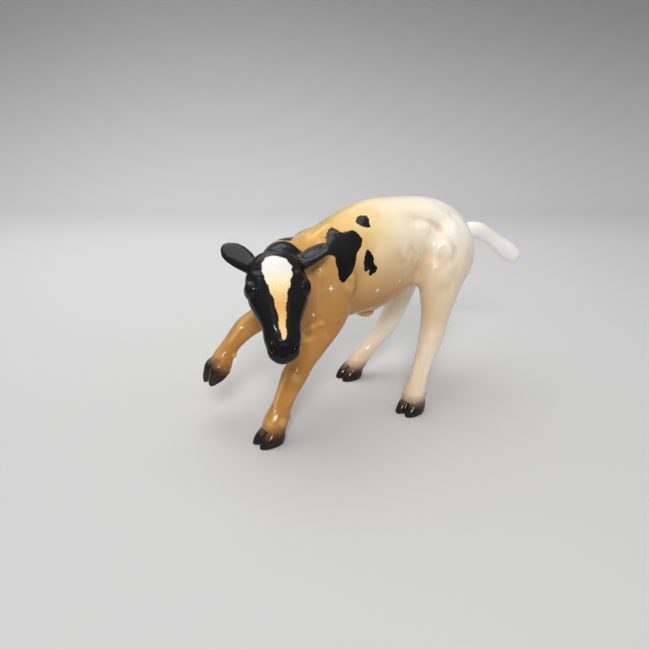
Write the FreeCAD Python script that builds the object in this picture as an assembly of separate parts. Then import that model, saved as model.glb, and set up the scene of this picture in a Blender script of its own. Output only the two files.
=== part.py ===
"""A free-standing calf figurine, about 1:9 scale, moulded in hollow and solid plastic pieces.

The calf faces -X and its left side faces -Y, +Z is up, and the soles of three hooves stand on z = 0
under the middle of the figure. The head is lowered and turned to the calf's left, the right foreleg
is lifted, and the tail is thrown out behind. The trunk and the head are hollow halves that meet on
a parting line, which follows the bend of the neck. Legs, ears and tail are separate mouldings, each
cut to the form that it sits on, with a keyed peg that seats in a collared socket inside the halves.

Lengths are millimetres. Each form is a skin of flat facets over rings. A form table gives a ring a
row: its centre in shares of the body length, and its half sizes in shares of that form's own girth.
Between the rows the rings follow a smooth curve.
"""
import FreeCAD
import Part
import math
import os

Vec = FreeCAD.Vector

# Driving sizes of the figure.
body_length = 100.0          # chest to the root of the tail, with the neck
trunk_width = 36.0           # across the ribs
leg_girth = 10.0             # across a knee
head_length = 38.0           # poll to muzzle
head_width = 21.5            # across the brows
ear_length = 16.0
ear_width = 9.5
tail_girth = 7.0
eye_radius = 2.4
nostril_radius = 1.0

# Walls, pegs and clearances of the mouldings.
body_wall = 2.2
head_wall = 1.9
glue_gap = 0.08              # between a peg and its socket, filled by cement
collar_wall = 1.4            # round a socket
leg_peg_radius = 3.2
small_peg_radius = 1.3       # ears and tail
small_peg_length = 5.0
pin_radius = 0.9             # pins that line up two halves
pin_length = 2.6
boss_radius = 2.3
boss_length = 4.0
neck_plug_length = 3.0
overrun = 2.0                # how far a plug laps into the piece that carries it
block_side = 400.0           # a block that halves a form
weld = 0.001                 # points this near are one point
key_share = 0.6              # a peg's flat lies this share of the radius from its axis

# Facets: rings between two rows of a table, and sides of a ring.
trunk_spans = 2
trunk_half_sides = 16
cavity_spans = 1
cavity_sides = 14
limb_spans = 2
limb_sides = 16
claw_spans = 1
claw_sides = 12
head_spans = 2
head_sides = 24
ear_spans = 1
ear_sides = 14
egg_sides = 10
egg_bands = 6
post_sides = 10

# Trunk and neck, from the buttocks to inside the skull.
# Centre x, y, z as shares of the body length; half width as a share of the trunk width;
# height above and depth below the centre as shares of the body length.
trunk_shares = [
    (0.745, 0.000, 0.690, 0.10, 0.030, 0.040),
    (0.734, 0.000, 0.685, 0.20, 0.060, 0.082),
    (0.705, 0.000, 0.680, 0.29, 0.097, 0.120),
    (0.645, 0.000, 0.685, 0.36, 0.138, 0.135),
    (0.540, 0.000, 0.695, 0.42, 0.178, 0.150),
    (0.420, 0.000, 0.680, 0.43, 0.211, 0.170),
    (0.300, 0.000, 0.655, 0.47, 0.238, 0.205),
    (0.180, 0.000, 0.640, 0.49, 0.230, 0.213),
    (0.060, 0.000, 0.635, 0.45, 0.192, 0.218),
    (-0.040, -0.002, 0.645, 0.38, 0.150, 0.245),
    (-0.110, -0.022, 0.660, 0.32, 0.118, 0.258),
    (-0.165, -0.055, 0.680, 0.27, 0.104, 0.175),
    (-0.210, -0.097, 0.695, 0.23, 0.090, 0.100),
    (-0.250, -0.143, 0.700, 0.20, 0.070, 0.070),
]
seam_row = 12                # the head joins the neck on this ring
# The navel under the belly: its place in shares of the body length, its half length, half width
# and half depth in shares of the trunk width.
navel_shares = (0.215, 0.000, 0.430)
navel_size_shares = (0.11, 0.07, 0.07)
cavity_rows = (2, 13)        # the hollow of the trunk runs through these rows

# Legs. Centre x, y, z as shares of the body length; half sizes fore, aft and sideways as shares
# of the leg girth.
foreleg_left_shares = [
    (0.050, -0.085, 0.775, 0.45, 0.45, 0.20),
    (0.020, -0.115, 0.710, 0.90, 0.90, 0.48),
    (-0.015, -0.130, 0.630, 1.10, 1.10, 0.62),
    (-0.020, -0.130, 0.545, 0.98, 1.00, 0.60),
    (-0.030, -0.122, 0.460, 0.78, 0.72, 0.55),
    (-0.080, -0.115, 0.375, 0.60, 0.54, 0.48),
    (-0.135, -0.112, 0.305, 0.50, 0.48, 0.44),
    (-0.172, -0.112, 0.250, 0.54, 0.48, 0.48),
    (-0.209, -0.117, 0.190, 0.43, 0.42, 0.41),
    (-0.240, -0.121, 0.130, 0.41, 0.40, 0.39),
    (-0.265, -0.125, 0.085, 0.47, 0.47, 0.47),
    (-0.282, -0.128, 0.045, 0.46, 0.50, 0.50),
]
foreleg_right_shares = [
    (0.050, 0.085, 0.770, 0.45, 0.45, 0.20),
    (0.020, 0.115, 0.700, 0.90, 0.90, 0.48),
    (-0.015, 0.130, 0.620, 1.05, 1.10, 0.62),
    (-0.055, 0.128, 0.545, 0.92, 1.00, 0.58),
    (-0.120, 0.120, 0.480, 0.70, 0.74, 0.52),
    (-0.205, 0.110, 0.432, 0.52, 0.52, 0.45),
    (-0.280, 0.102, 0.400, 0.47, 0.43, 0.46),
    (-0.330, 0.100, 0.360, 0.37, 0.37, 0.38),
    (-0.365, 0.100, 0.322, 0.36, 0.36, 0.36),
    (-0.386, 0.100, 0.290, 0.42, 0.42, 0.43),
    (-0.397, 0.100, 0.258, 0.40, 0.42, 0.46),
]
hindleg_left_shares = [
    (0.590, -0.080, 0.800, 0.70, 0.60, 0.25),
    (0.580, -0.112, 0.740, 1.25, 1.00, 0.52),
    (0.560, -0.135, 0.660, 1.45, 1.22, 0.70),
    (0.504, -0.150, 0.565, 1.22, 1.12, 0.72),
    (0.476, -0.170, 0.475, 0.80, 0.80, 0.62),
    (0.455, -0.182, 0.390, 0.60, 0.60, 0.52),
    (0.430, -0.190, 0.315, 0.49, 0.58, 0.48),
    (0.402, -0.194, 0.230, 0.40, 0.43, 0.40),
    (0.374, -0.197, 0.150, 0.39, 0.40, 0.39),
    (0.356, -0.199, 0.090, 0.45, 0.46, 0.46),
    (0.345, -0.200, 0.045, 0.47, 0.50, 0.50),
]
hindleg_right_shares = [
    (0.590, 0.080, 0.800, 0.70, 0.60, 0.25),
    (0.585, 0.112, 0.740, 1.25, 1.05, 0.52),
    (0.575, 0.138, 0.655, 1.40, 1.15, 0.70),
    (0.560, 0.160, 0.555, 1.12, 1.10, 0.70),
    (0.552, 0.180, 0.450, 0.80, 0.82, 0.60),
    (0.532, 0.195, 0.345, 0.58, 0.62, 0.50),
    (0.490, 0.205, 0.250, 0.47, 0.55, 0.46),
    (0.435, 0.213, 0.175, 0.37, 0.40, 0.38),
    (0.380, 0.219, 0.120, 0.37, 0.37, 0.36),
    (0.340, 0.224, 0.080, 0.43, 0.44, 0.44),
    (0.314, 0.228, 0.045, 0.44, 0.46, 0.48),
]
# A hoof: middle of its sole and heading of its toe in shares; how far it is tipped, in degrees.
foreleg_left_hoof_shares = ((-0.300, -0.130, 0.0), (-1.0, -0.15), 0.0)
foreleg_right_hoof_shares = ((-0.410, 0.100, 0.222), (-1.0, -0.10), 28.0)
hindleg_left_hoof_shares = ((0.336, -0.200, 0.0), (-1.0, -0.25), 0.0)
hindleg_right_hoof_shares = ((0.296, 0.230, 0.0), (-1.0, -0.10), 0.0)
# A leg's peg runs level, from inside the leg to inside the trunk: x, z, outer y and inner y as
# shares of the body length.
foreleg_peg_shares = (-0.005, 0.640, 0.155, 0.085)
hindleg_peg_shares = (0.575, 0.690, 0.165, 0.080)
# One claw from the sole up: height, shift back, half sizes fore, aft and sideways, all shares of
# the leg girth.
claw_shares = [
    (0.00, 0.00, 0.60, 0.50, 0.29),
    (0.20, 0.05, 0.55, 0.50, 0.30),
    (0.42, 0.13, 0.44, 0.46, 0.28),
    (0.62, 0.22, 0.30, 0.36, 0.22),
]
claw_spread_share = 0.25     # each claw stands this share of the girth beside the leg's middle
dewclaw_share = 0.11         # radius
dewclaw_place_shares = (0.70, 0.58, 0.20)   # height, shift back and spread

# Tail: centre shares of the body length and radius as a share of the tail girth.
tail_shares = [
    (0.715, 0.000, 0.706, 0.42),
    (0.765, 0.000, 0.709, 0.52),
    (0.830, 0.000, 0.703, 0.53),
    (0.895, 0.000, 0.672, 0.49),
    (0.955, 0.000, 0.634, 0.51),
    (1.015, 0.000, 0.596, 0.60),
    (1.070, 0.000, 0.560, 0.58),
    (1.098, 0.000, 0.542, 0.28),
]
tail_peg_row = 1             # the peg starts from this ring's centre, back along the tail

# Head. The poll's place in shares of the body length, and the way the face hangs.
poll_shares = (-0.267, -0.157, 0.762)
head_turn = 70.5             # the head's turn to the left of straight ahead, in degrees
head_drop = 49.0             # the face line's dip below level, in degrees
# Distance down the face as a share of the head length, half width as a share of the head width,
# and the face's and the jaw's heights over the face line as shares of the head length.
head_shares = [
    (-0.030, 0.18, -0.030, -0.170),
    (0.000, 0.29, 0.035, -0.250),
    (0.060, 0.38, 0.085, -0.320),
    (0.160, 0.43, 0.120, -0.360),
    (0.280, 0.465, 0.122, -0.360),
    (0.380, 0.445, 0.110, -0.340),
    (0.500, 0.370, 0.090, -0.290),
    (0.620, 0.305, 0.075, -0.235),
    (0.740, 0.280, 0.070, -0.200),
    (0.850, 0.305, 0.060, -0.180),
    (0.940, 0.300, 0.030, -0.165),
    (1.000, 0.230, -0.015, -0.140),
    (1.030, 0.120, -0.050, -0.110),
]
brow_share = 0.4             # the head is widest this share of its depth under the face
head_cavity_rows = (2, 10)
# Places on the head: down the face, aside and over the face line, in shares of the head length.
eye_shares = (0.36, 0.222, -0.020)
nostril_shares = (0.955, 0.090, 0.020)
head_pin_shares = [(0.200, -0.270), (0.780, -0.060)]
# Places of the trunk's pins: x and z in shares of the body length.
trunk_pin_shares = [(0.600, 0.590), (0.240, 0.850), (-0.020, 0.515)]

# Ears: where the root sits on the head, which way the ear points and which way its hollow faces,
# both as amounts aside, down the face and out of it.
ear_root_shares = (0.120, 0.175, -0.080)
ear_right_point = (-0.80, -0.85, -0.20)
ear_right_face = (0.15, 0.25, -1.0)
ear_left_point = (0.86, -0.52, 0.05)
ear_left_face = (0.25, -0.75, 0.80)
# Distance out as a share of the ear length; half width and half thickness as shares of its width.
ear_shares = [
    (-0.120, 0.260, 0.180),
    (0.080, 0.320, 0.190),
    (0.300, 0.430, 0.170),
    (0.520, 0.490, 0.140),
    (0.740, 0.460, 0.115),
    (0.900, 0.300, 0.090),
    (0.985, 0.130, 0.060),
]
# The ear's hollow is cut by an egg: its place out along the ear and its half length as shares of the
# ear length; its half width, its half depth and its height over the ear's middle as shares of the
# ear width.
ear_hollow_shares = (0.56, 0.33, 0.34, 0.10, 0.16)


def unit(vector):
    return Vec(vector).normalize()


def spot(shares):
    """A place in the figure from shares of the body length."""
    return Vec(*[body_length * share for share in shares])


def curve_value(values, part):
    """The value between the second and third of four on a smooth curve through them all."""
    before, start, end, after = values
    slope = end - before
    bend = 2 * before - 5 * start + 4 * end - after
    twist = 3 * (start - end) + after - before
    return start + (slope * part + bend * part ** 2 + twist * part ** 3) / 2


def blended(rows, spans):
    """The rows of a form table with further rows between them, on a smooth curve."""
    last = len(rows) - 1
    filled = []
    for index in range(last):
        around = (rows[max(index - 1, 0)], rows[index], rows[index + 1], rows[min(index + 2, last)])
        for step in range(spans):
            filled.append(tuple(curve_value(values, step / spans) for values in zip(*around)))
    filled.append(tuple(rows[last]))
    return filled


def whole_turns(sides):
    return [2 * math.pi * step / sides for step in range(sides)]


def half_turns(sides):
    """From straight under the centre, by the side vector, to straight over it."""
    return [math.pi * step / sides - math.pi / 2 for step in range(sides + 1)]


def ring(centre, side, up, half_sizes, turns):
    """Points of an egg-shaped ring: half sizes to the side, over and under the centre."""
    half_side, half_up, half_down = half_sizes
    places = []
    for turn in turns:
        rise = math.sin(turn) * (half_up if math.sin(turn) > 0 else half_down)
        places.append(centre + side * (half_side * math.cos(turn)) + up * rise)
    return places


def skin(rings):
    """A closed solid of flat facets over rings of points, with a flat end on the outer two."""
    sides = len(rings[0])
    places = [tuple(place) for places in rings for place in places]
    facets = []
    for row in range(len(rings) - 1):
        for step in range(sides):
            here = row * sides + step
            beside = row * sides + (step + 1) % sides
            facets.append((here, beside, beside + sides))
            facets.append((here, beside + sides, here + sides))
    end = (len(rings) - 1) * sides
    for step in range(1, sides - 1):
        facets.append((0, step + 1, step))
        facets.append((end, end + step, end + step + 1))
    surface = Part.Shape()
    surface.makeShapeFromMesh((places, facets), weld)
    return Part.Solid(Part.Shell(surface.Faces))


def largest(shape):
    """The main solid of a form that a cut may have left with crumbs."""
    return max(shape.Solids, key=lambda solid: solid.Volume)


def tangents(centres):
    """The line's direction at each ring, from the rings beside it."""
    last = len(centres) - 1
    return [unit(centres[min(i + 1, last)] - centres[max(i - 1, 0)]) for i in range(last + 1)]


def level_frame(along):
    """A level vector to the right of the line, and the vector square to it and to the line."""
    side = unit(along.cross(Vec(0, 0, 1)))
    return side, unit(side.cross(along))


def egg(centre, along, up, half_sizes):
    """A closed egg of facets: half sizes along, sideways and up."""
    half_along, half_side, half_up = half_sizes
    side = unit(along.cross(up))
    square_up = unit(side.cross(along))
    rings = []
    for band in range(1, egg_bands):
        angle = math.pi * band / egg_bands
        size = math.sin(angle)
        middle = centre - along * (half_along * math.cos(angle))
        sizes = (half_side * size, half_up * size, half_up * size)
        rings.append(ring(middle, side, square_up, sizes, whole_turns(egg_sides)))
    return skin(rings)


def post(foot, along, key, radius, length, turns):
    """A many-sided post; the turns round its axis start across the key direction."""
    across = unit(along.cross(key))
    outward = unit(across.cross(along))
    foot_ring = ring(foot, across, outward, (radius, radius, radius), turns)
    return skin([foot_ring, [place + along * length for place in foot_ring]])


def round_post(foot, along, radius, length):
    key = Vec(0, 0, 1) if abs(along.z) < abs(along.y) else Vec(0, 1, 0)
    return post(foot, along, key, radius, length, whole_turns(post_sides))


def keyed_peg(foot, along, key, radius, length):
    """A post with a flat on its key side, so that what it carries can't turn."""
    first = math.asin(key_share)
    sweep = math.pi + 2 * first
    turns = [math.pi - first + sweep * step / post_sides for step in range(post_sides + 1)]
    return post(foot, along, key, radius, length, turns)


def socket_of(peg):
    """The hole for a peg, and the collar of the moulding round it, from the peg's own values."""
    foot, along, key, radius, length = peg
    hole = keyed_peg(foot, along, key, radius + glue_gap, length + glue_gap)
    collar = round_post(foot, along, radius + glue_gap + collar_wall, length + glue_gap)
    return hole, collar


def trunk_frames(rows, spans):
    """For each ring of the trunk and neck: its row, centre, side, up and onward vectors."""
    filled = blended(rows, spans)
    centres = [spot(row[:3]) for row in filled]
    return [(row, centre) + level_frame(along) + (along,)
            for row, centre, along in zip(filled, centres, tangents(centres))]


def trunk_sizes(row, inset):
    width, over, under = row[3:]
    return trunk_width * width - inset, body_length * over - inset, body_length * under - inset


def trunk_rings(rows, spans, inset, turns, hand=1):
    """Rings of the trunk and neck, square to its line, drawn in by inset all round."""
    return [ring(centre, side * hand, up, trunk_sizes(row, inset), turns)
            for row, centre, side, up, along in trunk_frames(rows, spans)]


def trunk_half(hand):
    """One side of the trunk and neck as a solid: hand is -1 for the left, 1 for the right."""
    rings = trunk_rings(trunk_shares, trunk_spans, 0, half_turns(trunk_half_sides), hand)
    return skin(rings[:seam_row * trunk_spans + 1])


def navel_half(hand):
    """The side of the navel that one half of the trunk carries."""
    place = spot(navel_shares)
    whole = egg(place, Vec(1, 0, 0), Vec(0, 0, 1), [trunk_width * share for share in navel_size_shares])
    return whole.common(halving_block(place, Vec(0, hand, 0)))


def trunk_cavity():
    """The hollow inside the trunk and neck, open where the head plugs in."""
    first, last = cavity_rows
    return skin(trunk_rings(trunk_shares[first:last + 1], cavity_spans, body_wall,
                            whole_turns(cavity_sides)))


def neck_stub():
    """The stretch of neck ahead of the seam, which belongs to the head."""
    rings = trunk_rings(trunk_shares, trunk_spans, 0, whole_turns(2 * trunk_half_sides))
    return skin(rings[seam_row * trunk_spans:])


def neck_plug():
    """The plug that runs back from the seam into the hollow neck."""
    row, centre, side, up, along = trunk_frames(trunk_shares, trunk_spans)[seam_row * trunk_spans]
    sizes = trunk_sizes(row, body_wall + glue_gap)
    ends = [centre - along * neck_plug_length, centre + along * overrun]
    return skin([ring(end, side, up, sizes, whole_turns(cavity_sides)) for end in ends])


def limb_form(rows):
    """A leg as a solid: rings square to the leg's own line, from the shoulder or hip down."""
    filled = blended(rows, limb_spans)
    centres = [spot(row[:3]) for row in filled]
    rings = []
    for row, centre, along in zip(filled, centres, tangents(centres)):
        fore = unit(Vec(0, 1, 0).cross(along))
        side = unit(along.cross(fore))
        sizes = (leg_girth * row[5], leg_girth * row[3], leg_girth * row[4])
        rings.append(ring(centre, side, fore, sizes, whole_turns(limb_sides)))
    return skin(rings)


def claw_form(sole, toe, up, offset):
    """One claw of a hoof, from its flat sole up to the hair line."""
    across = unit(up.cross(toe))
    rings = []
    for height, back, fore, aft, half in blended(claw_shares, claw_spans):
        middle = sole + up * (leg_girth * height) - toe * (leg_girth * back) + across * offset
        sizes = (leg_girth * half, leg_girth * fore, leg_girth * aft)
        rings.append(ring(middle, across, toe, sizes, whole_turns(claw_sides)))
    return skin(rings)


def hoof_form(hoof):
    """Both claws of a hoof and the two dewclaws behind them, as a list of solids."""
    place, heading, tip = hoof
    sole = spot(place)
    level = unit(Vec(heading[0], heading[1], 0))
    turn = math.radians(tip)
    toe = level * math.cos(turn) - Vec(0, 0, 1) * math.sin(turn)
    up = level * math.sin(turn) + Vec(0, 0, 1) * math.cos(turn)
    across = unit(up.cross(toe))
    height, back, spread = [leg_girth * share for share in dewclaw_place_shares]
    radius = leg_girth * dewclaw_share
    solids = []
    for hand in (-1, 1):
        solids.append(claw_form(sole, toe, up, hand * leg_girth * claw_spread_share))
        heel = sole + up * height - toe * back + across * (hand * spread)
        solids.append(egg(heel, up, toe, (radius, radius, radius)))
    return solids


def leg_peg(shares, hand):
    """Values of a leg's peg: foot, direction, key side, radius and length."""
    x, z, outer, inner = shares
    foot = spot((x, hand * outer, z))
    return foot, Vec(0, -hand, 0), Vec(0, 0, 1), leg_peg_radius, body_length * (outer - inner)


def leg(rows, hoof, peg, body):
    """A leg cut to the trunk that it sits on, with its peg."""
    solid = limb_form(rows).multiFuse(hoof_form(hoof))
    return largest(largest(solid.cut(body)).fuse(keyed_peg(*peg)))


def tail_peg():
    """Values of the tail's peg, which runs back along the tail into the rump."""
    foot = spot(tail_shares[tail_peg_row][:3])
    inward = unit(spot(tail_shares[tail_peg_row - 1][:3]) - foot)
    return foot, inward, Vec(0, 0, 1), small_peg_radius, small_peg_length


def tail(body):
    """The tail from its root to the tip of its switch, with its peg."""
    filled = blended(tail_shares, limb_spans)
    centres = [spot(row[:3]) for row in filled]
    rings = []
    for row, centre, along in zip(filled, centres, tangents(centres)):
        side, up = level_frame(along)
        size = tail_girth * row[3]
        rings.append(ring(centre, side, up, (size, size, size), whole_turns(claw_sides)))
    return largest(largest(skin(rings).cut(body)).fuse(keyed_peg(*tail_peg())))


def head_axes():
    """Unit vectors down the face, to the head's left and out of the face."""
    turn = math.radians(head_turn)
    drop = math.radians(head_drop)
    down = Vec(-math.cos(turn) * math.cos(drop), -math.sin(turn) * math.cos(drop), -math.sin(drop))
    left = Vec(math.sin(turn), -math.cos(turn), 0)
    return down, left, unit(down.cross(left))


def head_spot(shares, hand=0):
    """A place on the head: down the face, aside to the hand's side and over the face line."""
    down, left, out = head_axes()
    along, aside, over = [head_length * share for share in shares]
    return spot(poll_shares) + down * along + left * (hand * aside) + out * over


def head_form(rows, spans, inset, sides):
    """The head as a solid, drawn in by inset all round."""
    down, left, out = head_axes()
    rings = []
    for share, half, face, jaw in blended(rows, spans):
        depth = head_length * (face - jaw)
        middle = head_spot((share, 0, face)) - out * (depth * brow_share)
        sizes = (head_width * half - inset, depth * brow_share - inset,
                 depth * (1 - brow_share) - inset)
        rings.append(ring(middle, left, out, sizes, whole_turns(sides)))
    return skin(rings)


def ear_axes(point, face):
    """Unit vectors out along an ear and out of its hollow."""
    down, left, out = head_axes()
    along = unit(left * point[0] + down * point[1] + out * point[2])
    facing = left * face[0] + down * face[1] + out * face[2]
    side = unit(along.cross(facing))
    return along, unit(side.cross(along))


def ear_peg(point, face, hand):
    """Values of an ear's peg, which runs from the ear's root into the head."""
    along, facing = ear_axes(point, face)
    return head_spot(ear_root_shares, hand), along * -1, facing, small_peg_radius, small_peg_length


def ear(point, face, hand, head):
    """An ear with its hollow, cut to the head that it sits on, with its peg."""
    along, facing = ear_axes(point, face)
    side = unit(along.cross(facing))
    root = head_spot(ear_root_shares, hand)
    rings = []
    for share, half, thick in blended(ear_shares, ear_spans):
        sizes = (ear_width * half, ear_width * thick, ear_width * thick)
        rings.append(ring(root + along * (ear_length * share), side, facing, sizes,
                          whole_turns(ear_sides)))
    place, reach, half, depth, height = ear_hollow_shares
    rim = root + along * (ear_length * place) + facing * (ear_width * height)
    hollow = egg(rim, along, facing, (ear_length * reach, ear_width * half, ear_width * depth))
    solid = skin(rings).cut([hollow, head])
    return largest(largest(solid).fuse(keyed_peg(*ear_peg(point, face, hand))))


def halving_block(place, normal):
    """A block whose one face passes the place, with all of it on the normal's side."""
    side = unit(normal.cross(Vec(0, 0, 1)))
    corner = place - side * (block_side / 2) - normal.cross(side) * (block_side / 2)
    edge = Part.makePolygon([corner, corner + side * block_side,
                             corner + side * block_side + normal.cross(side) * block_side,
                             corner + normal.cross(side) * block_side, corner])
    return Part.Face(edge).extrude(normal * block_side)


def bosses_and_pins(places, along, reach):
    """For each pin between two halves: its boss, which reaches out both ways, the pin and its hole."""
    bosses, pins, holes = [], [], []
    for place in places:
        bosses.append(round_post(place - along * reach, along, boss_radius, 2 * reach))
        pins.append(round_post(place - along * pin_length, along, pin_radius, 2 * pin_length))
        holes.append(round_post(place, along, pin_radius + glue_gap, pin_length + glue_gap))
    return bosses, pins, holes


def legs(body):
    """The four legs by node name, and their pegs' values."""
    nodes, pegs = {}, []
    for name, rows, hoof, peg_shares, hand in (
            ("foreleg_left", foreleg_left_shares, foreleg_left_hoof_shares, foreleg_peg_shares, -1),
            ("foreleg_right", foreleg_right_shares, foreleg_right_hoof_shares, foreleg_peg_shares, 1),
            ("hindleg_left", hindleg_left_shares, hindleg_left_hoof_shares, hindleg_peg_shares, -1),
            ("hindleg_right", hindleg_right_shares, hindleg_right_hoof_shares, hindleg_peg_shares, 1)):
        pegs.append(leg_peg(peg_shares, hand))
        nodes[name] = leg(rows, hoof, pegs[-1], body)
    return nodes, pegs


def trunk_shells(left_form, right_form, pegs):
    """The hollow halves of the trunk, with the sockets of these pegs and the pins between them."""
    sockets = [socket_of(peg) for peg in pegs]
    places = [spot((x, 0, z)) for x, z in trunk_pin_shares]
    bosses, pins, holes = bosses_and_pins(places, Vec(0, 1, 0), boss_length)
    cavity = trunk_cavity().cut([collar for hole, collar in sockets] + bosses)
    cutters = [cavity] + [hole for hole, collar in sockets]
    return {"body_left_shell": largest(left_form.cut(cutters).multiFuse(pins)),
            "body_right_shell": largest(right_form.cut(cutters + holes))}


def solid_head(body):
    """The head and the neck ahead of the seam, with eyes and nostrils, before it is hollowed."""
    down, aside, out = head_axes()
    eyes, nostrils = [], []
    for hand in (-1, 1):
        eyes.append(egg(head_spot(eye_shares, hand), down, out, [eye_radius] * 3))
        nostrils.append(egg(head_spot(nostril_shares, hand), down, out, [nostril_radius] * 3))
    form = head_form(head_shares, head_spans, 0, head_sides)
    return largest(form.multiFuse([neck_stub()] + eyes).cut([body] + nostrils))


def head_and_ears(body):
    """The hollow halves of the head and the two ears, by node name."""
    head = solid_head(body)
    ears = (("ear_left", ear_left_point, ear_left_face, 1),
            ("ear_right", ear_right_point, ear_right_face, -1))
    nodes = {name: ear(point, face, hand, head) for name, point, face, hand in ears}
    sockets = [socket_of(ear_peg(point, face, hand)) for name, point, face, hand in ears]

    down, aside, out = head_axes()
    places = [head_spot((along, 0, over)) for along, over in head_pin_shares]
    bosses, pins, holes = bosses_and_pins(places, aside * -1, head_width / 2)
    first, last = head_cavity_rows
    cavity = head_form(head_shares[first:last + 1], cavity_spans, head_wall, cavity_sides)
    cavity = cavity.cut([collar for hole, collar in sockets] + bosses)
    hollow = head.fuse(neck_plug()).cut([cavity] + [hole for hole, collar in sockets])
    middle = head_spot((0, 0, 0))
    left_side = hollow.common(halving_block(middle, aside))
    right_side = hollow.common(halving_block(middle, aside * -1))
    nodes["head_left_shell"] = largest(left_side.multiFuse(pins))
    nodes["head_right_shell"] = largest(right_side.cut(holes))
    return nodes


def main():
    left_form = trunk_half(-1).fuse(navel_half(-1))
    right_form = trunk_half(1).fuse(navel_half(1))
    body = left_form.fuse(right_form)
    nodes, pegs = legs(body)
    nodes["tail"] = tail(body)
    nodes.update(trunk_shells(left_form, right_form, pegs + [tail_peg()]))
    nodes.update(head_and_ears(body))

    box = FreeCAD.BoundBox()
    for shape in nodes.values():
        box.add(shape.BoundBox)
    for name, shape in nodes.items():
        shape.translate(Vec(-box.Center.x, -box.Center.y, -box.ZMin))
        print(name, shape.isValid(), "volume", round(shape.Volume, 1), "solids", len(shape.Solids))
        shape.exportStep("parts/%s.step" % name)
    print("box", box)


os.makedirs("parts", exist_ok=True)
main()
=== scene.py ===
# %% [markdown]
# # A moulded calf figurine
#
# The figurine is plastic: a hollow trunk and head in halves, with legs, ears and tail cemented on,
# sanded smooth, and then airbrushed by hand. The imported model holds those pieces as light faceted
# solids. This script turns them into sculpted, painted pieces in the same places.

# %% Load the fixed frame
import bpy
import math
import numpy as np
from mathutils import Matrix, Vector
from mathutils.bvhtree import BVHTree


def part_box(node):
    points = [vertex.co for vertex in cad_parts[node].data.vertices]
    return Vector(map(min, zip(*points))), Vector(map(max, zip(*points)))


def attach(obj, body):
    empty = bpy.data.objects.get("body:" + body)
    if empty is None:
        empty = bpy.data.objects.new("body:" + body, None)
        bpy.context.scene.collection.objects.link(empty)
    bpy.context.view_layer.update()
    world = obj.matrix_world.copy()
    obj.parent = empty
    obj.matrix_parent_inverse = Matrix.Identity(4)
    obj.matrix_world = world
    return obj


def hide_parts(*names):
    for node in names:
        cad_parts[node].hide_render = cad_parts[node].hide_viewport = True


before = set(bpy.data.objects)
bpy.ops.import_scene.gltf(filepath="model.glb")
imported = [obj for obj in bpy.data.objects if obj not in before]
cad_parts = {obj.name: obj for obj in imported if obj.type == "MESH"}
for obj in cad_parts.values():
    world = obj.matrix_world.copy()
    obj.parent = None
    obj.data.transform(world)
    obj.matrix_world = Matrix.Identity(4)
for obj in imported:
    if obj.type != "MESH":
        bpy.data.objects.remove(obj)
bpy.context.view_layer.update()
node_names = sorted(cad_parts)
print("frame nodes:", node_names)

# %% [markdown]
# A sculptor thinks in millimetres from the animal's own middle, while Blender counts metres in the
# frame. The tail lies on the trunk's middle plane, so its box gives both offsets. All the sculpting
# below happens in these figure millimetres: x runs to the tail, y to the calf's right, z up.

# %% Figure millimetres
MM = 0.001
TAIL_TIP_X = 110.86
tail_low, tail_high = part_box("tail")
frame_shift = np.array([tail_high.x / MM - TAIL_TIP_X, (tail_low.y + tail_high.y) / 2 / MM, 0.0])


def to_figure(points):
    """Frame metres to figure millimetres."""
    return np.asarray(points, float) / MM - frame_shift


def to_frame(points):
    """Figure millimetres to frame metres."""
    return (np.asarray(points, float) + frame_shift) * MM


print("frame shift in mm:", np.round(frame_shift, 3))

# %% [markdown]
# The camera stands where the photograph was taken from: close, a little above, on the calf's left
# front. It comes early because details that the photograph shows are placed by its pixels: a ray
# from the camera through the pixel meets the clay at the spot to model.

# %% The photograph's camera
PHOTO_WIDTH = 649
FOCAL_PIXELS = 623.0
CAMERA_PLACE = np.array([-118.1, -209.1, 127.0])
CAMERA_AZIMUTH = -30.0
CAMERA_PITCH = 20.0
SENSOR_MM = 36.0


def camera_axes():
    """Unit vectors forward, to the right and up, in the figure's axes."""
    azimuth, pitch = math.radians(CAMERA_AZIMUTH), math.radians(CAMERA_PITCH)
    level = np.array([-math.sin(azimuth), math.cos(azimuth), 0.0])
    right = np.array([level[1], -level[0], 0.0])
    forward = level * math.cos(pitch) - np.array([0, 0, math.sin(pitch)])
    return forward, right, np.cross(right, forward)


def pixel_ray(px, py):
    """Direction from the camera through a pixel of the photograph."""
    forward, right, up = camera_axes()
    half = PHOTO_WIDTH / 2
    ray = forward + right * (px - half) / FOCAL_PIXELS + up * (half - py) / FOCAL_PIXELS
    return ray / np.linalg.norm(ray)


def pixels_of(points):
    """Where points of the figure fall in the photograph, as pixels."""
    forward, right, up = camera_axes()
    apart = points - CAMERA_PLACE
    depth = apart @ forward
    half = PHOTO_WIDTH / 2
    return np.column_stack([half + apart @ right / depth * FOCAL_PIXELS,
                            half - apart @ up / depth * FOCAL_PIXELS])


def add_camera():
    """The camera of the photograph, made the scene's own."""
    forward, right, up = camera_axes()
    data = bpy.data.cameras.new("photo_camera")
    data.sensor_width = SENSOR_MM
    data.lens = FOCAL_PIXELS / PHOTO_WIDTH * SENSOR_MM
    data.clip_start = MM
    camera = bpy.data.objects.new("photo_camera", data)
    turn = Matrix((right, up, -forward)).transposed().to_4x4()
    camera.matrix_world = Matrix.Translation(Vector(to_frame(CAMERA_PLACE))) @ turn
    bpy.context.scene.collection.objects.link(camera)
    bpy.context.scene.camera = camera
    return camera


camera = add_camera()
print("camera at", [round(c, 4) for c in camera.matrix_world.translation])

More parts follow.
